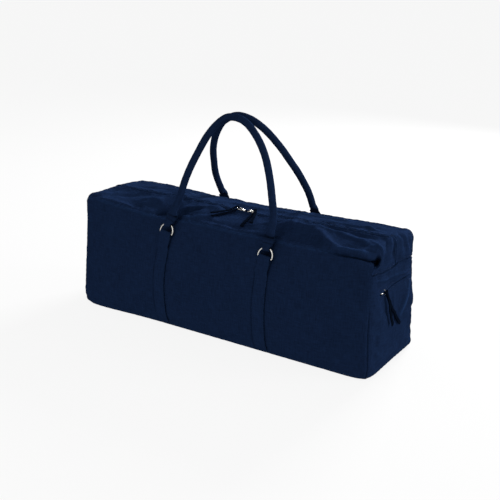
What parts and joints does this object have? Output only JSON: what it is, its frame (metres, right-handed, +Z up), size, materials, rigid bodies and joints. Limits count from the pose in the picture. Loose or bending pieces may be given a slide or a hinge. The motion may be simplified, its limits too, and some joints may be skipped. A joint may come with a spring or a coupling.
{
  "type": "yoga kit bag",
  "caption": "Long soft canvas kit bag with a zip along the top and over the ends, a zipped end pocket, and padded carry handles looped through metal D-rings on straps.",
  "frame": {"origin": "centre of the flat base, on the surface that the bag stands on", "axes": "+X along the bag toward the end with the pocket, -Y out of the front, +Z up toward the handles"},
  "size_m": [0.7217, 0.2368, 0.4529],
  "materials": {
    "canvas": "matt navy cotton canvas",
    "zip_tape": "matt woven tape",
    "zip_chain": "moulded coil",
    "nickel": "bright nickel plate"
  },
  "bodies": {
    "root": {"front_panel": "canvas", "back_panel": "canvas", "bottom_panel": "canvas", "end_panel_left": "canvas", "end_panel_right": "canvas", "top_panel_front": "canvas", "top_panel_back": "canvas", "zip_tape": "zip_tape", "zip_chain": "zip_chain", "pocket_tape": "zip_tape", "pocket_chain": "zip_chain", "zip_slider_left": "nickel", "zip_slider_right": "nickel", "pocket_slider": "nickel", "zip_link_left": "nickel", "zip_link_right": "nickel", "pocket_link": "nickel", "pull_tie_left": "canvas", "pull_tie_right": "canvas", "pocket_tie": "canvas", "strap_front_left": "canvas", "strap_front_right": "canvas", "strap_back_left": "canvas", "strap_back_right": "canvas", "d_ring_front_left": "nickel", "d_ring_front_right": "nickel", "d_ring_back_left": "nickel", "d_ring_back_right": "nickel", "handle_front": "canvas", "handle_back": "canvas"}
  },
  "joints": []
}
